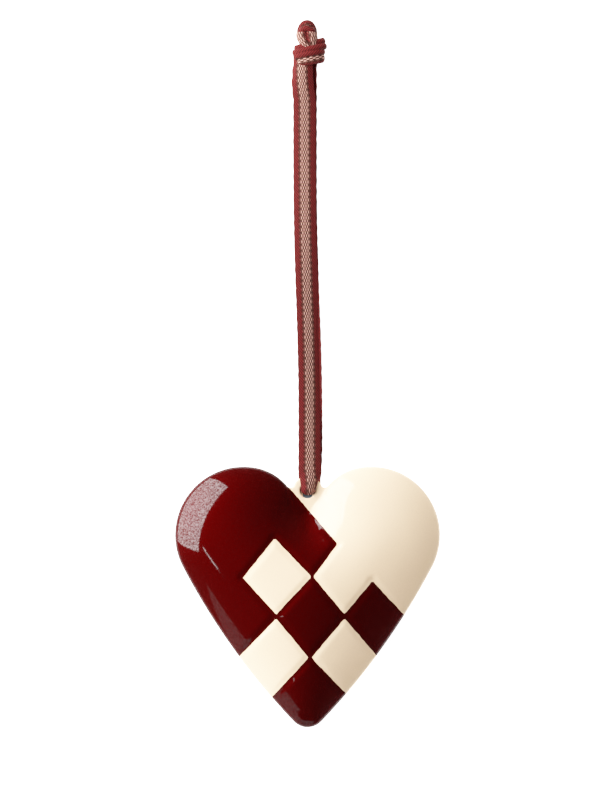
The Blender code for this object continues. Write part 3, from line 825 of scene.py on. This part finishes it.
# Each group of points comes with how far apart its points must lie.
front = spread([(ring_spots(FRONT_RINGS), 0.035 * MM), (ear_spots(), 0.045 * MM),
                (fill_spots(FRONT_FILL, FRONT_FILL_DEPTH), 0.3 * MM)], loops)
back = spread([(ring_spots(BACK_RINGS), 0.06 * MM), (ear_spots(), 0.045 * MM),
               (fill_spots(BACK_FILL, BACK_FILL_DEPTH), 0.4 * MM)], back_loops)
print("front points", len(front), "back points", len(back))

# %% [markdown]
# ## Where the cream paint lies
#
# The paint is sprayed through a mask, so its edge is straight but not perfect. For each
# point of the mesh the distance to the edge of the cream is worked out, positive inside
# it, and stored as an attribute. The material then draws a crisp edge wherever that
# distance is nought. This follows the joints better than one material for each face would.

# %% Cream areas
SLIVERS = {(1, 1): 0.2 * MM, (2, 1): 0.5 * MM, (1, 2): 0.5 * MM, (2, 2): 0.36 * MM}
RUN_ON = 0.3                     # the mask runs on past the rim by this share of a joint


def beyond(inner, outer):
    return outer + (outer - inner) * RUN_ON


def corner(row, column, x, y):
    # The red runs on as a sliver between two cream corners that nearly meet.
    return crossing(row, column) + Vector((x, y)) * SLIVERS[row, column]


def cream_areas():
    start = weave_joints()[0][0]
    far = 2 * HEART_WIDTH
    lobe = [beyond(crossing(0, 1), start), crossing(0, 1), corner(1, 1, 1, 0), corner(1, 2, 0, 1),
            crossing(0, 2), beyond(crossing(0, 2), crossing(0, 3)), Vector((far, 0)),
            Vector((far, far)), Vector((start.x, far))]
    upper = [crossing(1, 0), corner(1, 1, -1, 0), corner(2, 1, 0, 1), crossing(2, 0)]
    lower = [corner(2, 1, 0, -1), corner(2, 2, -1, 0), beyond(crossing(2, 2), crossing(3, 2)),
             beyond(crossing(2, 1), crossing(3, 1))]
    right = [corner(1, 2, 0, -1), beyond(crossing(1, 2), crossing(1, 3)),
             beyond(crossing(2, 2), crossing(2, 3)), corner(2, 2, 1, 0)]
    return [lobe, upper, lower, right]


def cream_distance(spots):
    best = np.full(len(spots), -1.0)
    for area in cream_areas():
        sides = [segment_distance(spots, a, b) for a, b in zip(area, area[1:] + area[:1])]
        away = np.min(sides, axis=0)
        best = np.maximum(best, np.where(inside_loop(spots, area), away, -away))
    return best


print("the cream lies in", len(cream_areas()), "areas")

# %% [markdown]
# ## The pressed heart
#
# The two faces of the heart are sheets of triangles over the points, each point lifted to its
# height. Strips of four-sided faces close the rim and line the hole. A solidify modifier
# could close one sheet, but here front and back differ, so the strips join two.

# %% Build the heart
GREY_HALF_WIDTH = 0.62 * HOLE_RADIUS      # the hole's wall is dark grey this far to each side of its middle
HEART_CORNER = math.radians(50)           # an edge sharper than this stays crisp


def build_heart():
    heights = [front_heights(np.array(front)), back_heights(np.array(back))]
    points = []
    for spots, face_heights in zip((front, back), heights):
        points += [(spot.x, spot.y, height) for spot, height in zip(spots, face_heights)]
    faces = sheet(front, loops)
    faces += [tuple(len(front) + k for k in reversed(face)) for face in sheet(back, back_loops)]
    first = 0
    for loop in loops:
        for k in range(len(loop)):
            a, b = first + k, first + (k + 1) % len(loop)
            low_a, low_b = len(front) + a, len(front) + b
            faces.append((b, a, low_a, low_b) if loop is loops[0] else (a, b, low_b, low_a))
        first += len(loop)
    mesh = bpy.data.meshes.new("enamelled_heart")
    mesh.from_pydata(points, [], faces)
    flat = np.array([spot[:2] for spot in points])
    # Distance to the hole's wall, kept to a band across its middle, where the wall is dark grey.
    to_hole = np.hypot(*(flat - np.array(HOLE)).T) - HOLE_RADIUS
    to_hole = np.maximum(to_hole, np.abs(flat[:, 0] - HOLE.x) - GREY_HALF_WIDTH)
    for name, values in (("cream", cream_distance(flat) / MM), ("hole", to_hole / MM)):
        attribute = mesh.attributes.new(name, "FLOAT", "POINT")
        attribute.data.foreach_set("value", values.astype(np.float32))
    mesh.shade_smooth()
    mesh.set_sharp_from_angle(angle=HEART_CORNER)
    return in_scene("enamelled_heart", mesh)


heart = build_heart()
print("heart faces", len(heart.data.polygons))

# %% [markdown]
# ## Materials
#
# Colours are picked as the hex values of a picture and turned to linear light by one
# function. One more function adds a node, sets it and joins it up.

# %% Colour and node helpers


def linear(hex_colour):
    # Turns a colour such as "a01020" into the linear values that a shader takes.
    parts = [int(hex_colour[k:k + 2], 16) / 255 for k in (0, 2, 4)]
    return (*[c / 12.92 if c < 0.04045 else ((c + 0.055) / 1.055) ** 2.4 for c in parts], 1.0)


def add_node(tree, kind, inputs=None, **settings):
    # Adds a node. An input takes a value, an output to join it to, or a node, and then it is
    # joined to the first output that the node has in use.
    node = tree.nodes.new("ShaderNode" + kind)
    for name, value in settings.items():
        setattr(node, name, value)
    for name, value in (inputs or {}).items():
        if isinstance(value, bpy.types.Node):
            value = next(output for output in value.outputs if output.enabled)
        if isinstance(value, bpy.types.NodeSocket):
            tree.links.new(value, node.inputs[name])
        else:
            node.inputs[name].default_value = value
    return node


def new_material(name):
    material = bpy.data.materials.new(name)
    material.use_nodes = True
    tree = material.node_tree
    tree.nodes.clear()
    return material, tree


print("a middle grey of 808080 is", round(linear("808080")[0], 3), "in linear light")

# %% [markdown]
# ### Sprayed enamel
#
# The red is a glaze, a coloured lacquer that was sprayed on bright steel and that lets the
# metal shine through. It brightens towards the lamp and is nearly black away from it, which
# an opaque red wouldn't do, so its base is partly metallic and rather rough. The cream is
# an opaque enamel and shades softly. Over both lies a clear coat, which alone reflects
# sharply, so the base has no gloss of its own. The coat dried with a fine orange peel, about
# 0.4 mm between bumps: a lamp's reflection keeps its outline but looks grainy inside. In a
# band across the middle of the hole, its wall and a hair round it are a plain dark grey.

# %% Enamel
PEEL = 0.42 * MM
PEEL_HEIGHT = 0.02 * MM
WANDER = MM / 0.55               # the mask's edge swings aside and back in about 1.8 mm
MASK_SLIP = 0.07                 # by this many millimetres to each side
CREAM_EDGE = (-0.03, 0.05)       # the paint's own edge, in millimetres from the mask's line
GREY_EDGE = (0.1, 0.03)          # how near to the hole the paint gives way to the dark grey, in millimetres
GLAZE_METAL = 0.6                # the share of bright steel that shines through the red
GLAZE_ROUGHNESS = 0.58
COAT_THIN, COAT_THICK = 0.15, 0.82
RED = linear("3d0000")
CREAM = linear("efcfad")
# a plain dark grey for the hole's wall across its middle
HOLE_GREY = linear("566066")

enamel, tree = new_material("sprayed enamel, orange peel")
place = add_node(tree, "TexCoord").outputs["Object"]
wander = add_node(tree, "TexNoise", {"Vector": place, "Scale": 1 / WANDER, "Detail": 2.0})
cream = add_node(tree, "Attribute", attribute_name="cream").outputs["Fac"]
drift = add_node(tree, "MapRange", {"Value": wander, "From Min": 0.3, "From Max": 0.7,
                                    "To Min": -MASK_SLIP, "To Max": MASK_SLIP})
edge = add_node(tree, "Math", {0: cream, 1: drift}, operation="ADD")
mask = add_node(tree, "MapRange", {"Value": edge, "From Min": CREAM_EDGE[0], "From Max": CREAM_EDGE[1]})
glaze = add_node(tree, "MapRange", {"Value": mask, "To Min": GLAZE_METAL, "To Max": 0.0})
paint = add_node(tree, "Mix", {"Factor": mask, "A": RED, "B": CREAM}, data_type="RGBA")
hole = add_node(tree, "Attribute", attribute_name="hole").outputs["Fac"]
# the band across the middle of the hole turns dark grey
grey_wall = add_node(tree, "MapRange", {"Value": hole, "From Min": GREY_EDGE[0], "From Max": GREY_EDGE[1]})
colour = add_node(tree, "Mix", {"Factor": grey_wall, "A": paint, "B": HOLE_GREY}, data_type="RGBA")
peel = add_node(tree, "TexNoise", {"Vector": place, "Scale": 1 / PEEL, "Detail": 1.0})
skin = add_node(tree, "MapRange", {"Value": peel, "From Min": 0.32, "From Max": 0.68,
                                   "To Min": COAT_THIN, "To Max": COAT_THICK})
bump = add_node(tree, "Bump", {"Height": peel, "Strength": 0.25, "Distance": PEEL_HEIGHT})
shader = add_node(tree, "BsdfPrincipled", {
    "Base Color": colour, "Metallic": glaze, "Roughness": GLAZE_ROUGHNESS, "IOR": 1.5,
    "Specular IOR Level": 0.0, "Coat Weight": skin, "Coat Roughness": 0.05, "Coat IOR": 1.5,
    "Normal": bump})
add_node(tree, "OutputMaterial", {"Surface": shader})
heart.data.materials.append(enamel)
print("enamel of", len(tree.nodes), "nodes")

# %% [markdown]
# ### Woven ribbon
#
# The ribbon is woven from polyester yarn: plain red yarns along both edges, and in the
# middle cream and dark yarns that take turns on top, which makes a fine checked stripe
# with a dark line along each side. A yarn is about 0.3 mm wide and each turn is 0.8 mm
# long, and that just shows. Yarn scatters light in all directions, so the ribbon is dull.

# %% Ribbon
YARN_HEIGHT = 0.05 * MM
# The next sizes are in millimetres, as the map of the weave is.
YARN = 0.31
TURN = 0.79
STRIPE = 1.25                    # half the width of the stripe
STRIPE_SOFT = 0.1
TEETH = 0.2                      # how far the stripe's edge goes in and out
BORDER_FROM, BORDER_TO = 0.25, 0.55       # where the dark line beside the stripe fades out
BORDER_LEAST = 0.15              # how much of the dark line is left between its dots
TWILL_STEPS = 2.0                # slanted ridges of the red edges to each turn of the stripe
RIBBON_RED = linear("70201f")
RIBBON_DARK = linear("300606")
RIBBON_CREAM = linear("c09184")
RIBBON_SHADE = linear("3c1b14")

woven, tree = new_material("woven polyester ribbon")
weave_place = add_node(tree, "UVMap", uv_map="weave")
flat_place = add_node(tree, "SeparateXYZ", {"Vector": weave_place})
across, along = flat_place.outputs["X"], flat_place.outputs["Y"]
columns = add_node(tree, "Math", {0: across, 1: math.pi / YARN}, operation="MULTIPLY")
turns = add_node(tree, "Math", {0: along, 1: math.pi / TURN}, operation="MULTIPLY")
column_wave = add_node(tree, "Math", {0: columns}, operation="COSINE")
turn_wave = add_node(tree, "Math", {0: turns}, operation="COSINE")
checks = add_node(tree, "Math", {0: column_wave, 1: turn_wave}, operation="MULTIPLY")
on_top = add_node(tree, "MapRange", {"Value": checks, "From Min": -0.2, "From Max": 0.6})
stripe = add_node(tree, "Mix", {"Factor": on_top, "A": RIBBON_SHADE, "B": RIBBON_CREAM}, data_type="RGBA")
twill_way = add_node(tree, "Math", {0: turns, 1: TWILL_STEPS, 2: columns}, operation="MULTIPLY_ADD")
twill = add_node(tree, "Math", {0: twill_way}, operation="SINE")
edge_yarn = add_node(tree, "MapRange", {"Value": twill, "From Min": -1.0, "From Max": 1.0})
red_edge = add_node(tree, "Mix", {"Factor": edge_yarn, "A": RIBBON_DARK, "B": RIBBON_RED},
                    data_type="RGBA")
aside = add_node(tree, "Math", {0: across}, operation="ABSOLUTE")
teeth = add_node(tree, "Math", {0: turn_wave, 1: TEETH, 2: aside}, operation="MULTIPLY_ADD")
in_stripe = add_node(tree, "MapRange", {"Value": teeth, "From Min": STRIPE + STRIPE_SOFT,
                                        "From Max": STRIPE - STRIPE_SOFT})
beside = add_node(tree, "MapRange", {"Value": aside, "From Min": STRIPE + BORDER_TO,
                                     "From Max": STRIPE + BORDER_FROM})
dots = add_node(tree, "MapRange", {"Value": turn_wave, "From Min": -0.6, "From Max": 0.6,
                                   "To Min": BORDER_LEAST})
border = add_node(tree, "Math", {0: beside, 1: dots}, operation="MULTIPLY")
bordered = add_node(tree, "Mix", {"Factor": border, "A": red_edge, "B": RIBBON_SHADE}, data_type="RGBA")
yarn = add_node(tree, "Mix", {"Factor": in_stripe, "A": bordered, "B": stripe}, data_type="RGBA")
relief = add_node(tree, "Bump", {"Height": checks, "Strength": 0.5, "Distance": YARN_HEIGHT})
shader = add_node(tree, "BsdfPrincipled", {
    "Base Color": yarn, "Roughness": 0.75, "IOR": 1.5, "Specular IOR Level": 0.12, "Normal": relief})
add_node(tree, "OutputMaterial", {"Surface": shader})
for piece in (ribbon_front, ribbon_back, knot):
    piece.data.materials.append(woven)
print("ribbon of", len(tree.nodes), "nodes")

# %% [markdown]
# ## Each piece on the body
#
# Every piece rides on the part's one body, and the solid that it stands for is hidden.
# The real lengths of the two strands are printed.

# %% Pieces on the frame
for piece, node, finish in ((heart, "heart", "enamel"), (ribbon_front, "ribbon_front", "ribbon"),
                            (ribbon_back, "ribbon_back", "ribbon"), (knot, "ribbon_knot", "ribbon")):
    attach(piece, "root")
    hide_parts(node)
for piece, path in ((ribbon_front, front_path), (ribbon_back, back_path)):
    print(piece.name, "is a cord of", round(path_length(path) / MM, 1), "mm")

# %% [markdown]
# ## Table and light
#
# The table is a light table, a frosted sheet over lamps, which glows by itself and so stays
# white all over. One large soft lamp stands low on the left, and its reflection wraps round
# the left lobe. A thin tube lamp beside it gives the short streak, and a dim panel lower
# down the pale bands along the left side. Shiny enamel shows everything around it, so the
# rest of the room stays dark. A fill lamp behind a polarising sheet lights the cream from
# the right and leaves no reflection.

# %% Table
TABLE_SIDE = 3.0
TABLE_DROP = 0.02 * MM           # a hair of air under the heart, so that no two faces coincide
TABLE_GLOW = 0.9

mesh = bpy.data.meshes.new("table")
half = TABLE_SIDE / 2
corners = [(-half, -half, 0), (half, -half, 0), (half, half, 0), (-half, half, 0)]
mesh.from_pydata(corners, [], [(0, 1, 2, 3)])
table = in_scene("table", mesh)
table.location.z = -TABLE_DROP
frosted, tree = new_material("matt white light table")
shader = add_node(tree, "BsdfPrincipled", {
    "Base Color": linear("f4f4f2"), "Roughness": 0.9, "Specular IOR Level": 0.2,
    "Emission Color": linear("ffffff"), "Emission Strength": TABLE_GLOW})
add_node(tree, "OutputMaterial", {"Surface": shader})
mesh.materials.append(frosted)
table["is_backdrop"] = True
print("the table is", TABLE_SIDE, "m wide")

# %% Lamps
ROOM_LIGHT = 0.02


def add_panel(name, azimuth, elevation, distance, width, height, brightness):
    # A flat panel lamp that faces the heart. Its power follows from how bright it looks.
    lamp = bpy.data.lights.new(name, "AREA")
    lamp.shape = "RECTANGLE"
    lamp.size = width
    lamp.size_y = height
    lamp.energy = brightness * math.pi * width * height
    item = in_scene(name, lamp)
    a, e = math.radians(azimuth), math.radians(elevation)
    away = Vector((math.cos(a) * math.cos(e), math.sin(a) * math.cos(e), math.sin(e)))
    item.location = away * distance
    item.rotation_euler = (-away).to_track_quat("-Z", "Y").to_euler()
    return item


# Azimuth and elevation in degrees, distance, width and height in metres, then brightness.
add_panel("soft key panel", 154, 30, 0.8, 1.04, 0.62, 5.6)
add_panel("dim lower panel", 249, 22, 0.9, 1.2, 0.46, 0.42)
add_panel("thin tube lamp", 200, 49, 0.9, 0.14, 0.02, 6.0)
fill = add_panel("polarised fill", 20, 35, 0.9, 1.4, 0.7, 0.44)
fill.visible_glossy = False
room = bpy.data.worlds.new("dark room")
room.use_nodes = True
background = room.node_tree.nodes["Background"]
background.inputs["Color"].default_value = (1, 1, 1, 1)
background.inputs["Strength"].default_value = ROOM_LIGHT
bpy.context.scene.world = room
print("lamps", [lamp.name for lamp in bpy.data.lights])

# %% [markdown]
# ## The film
#
# A camera doesn't answer evenly to light: bright tones crowd together just below white,
# while dark ones keep their steps. That is why the cream stays pale round its dark side
# in the photo while the red next to it nearly goes black. One curve for all three colours
# gives the same answer.

# %% Film curve
FILM = [
    # a tone as it falls on the film, and as the picture shows it
    (0.0, 0.0), (0.05, 0.14), (0.1, 0.275), (0.2, 0.5), (0.35, 0.72), (0.5, 0.85), (0.7, 0.95),
    (1.0, 1.0),
]

view = bpy.context.scene.view_settings
view.view_transform = "Standard"
view.use_curve_mapping = True
film = view.curve_mapping.curves[3]
film.points[0].location = FILM[0]
film.points[1].location = FILM[-1]
for dark, shown in FILM[1:-1]:
    film.points.new(dark, shown)
view.curve_mapping.update()
print("film curve of", len(film.points), "points")

# %% Note the sizes
dressed_low, dressed_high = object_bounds()
dressed_sides = [round((b - a) / MM, 1) for a, b in zip(dressed_low, dressed_high)]
print("dressed part spans", dressed_sides, "mm")
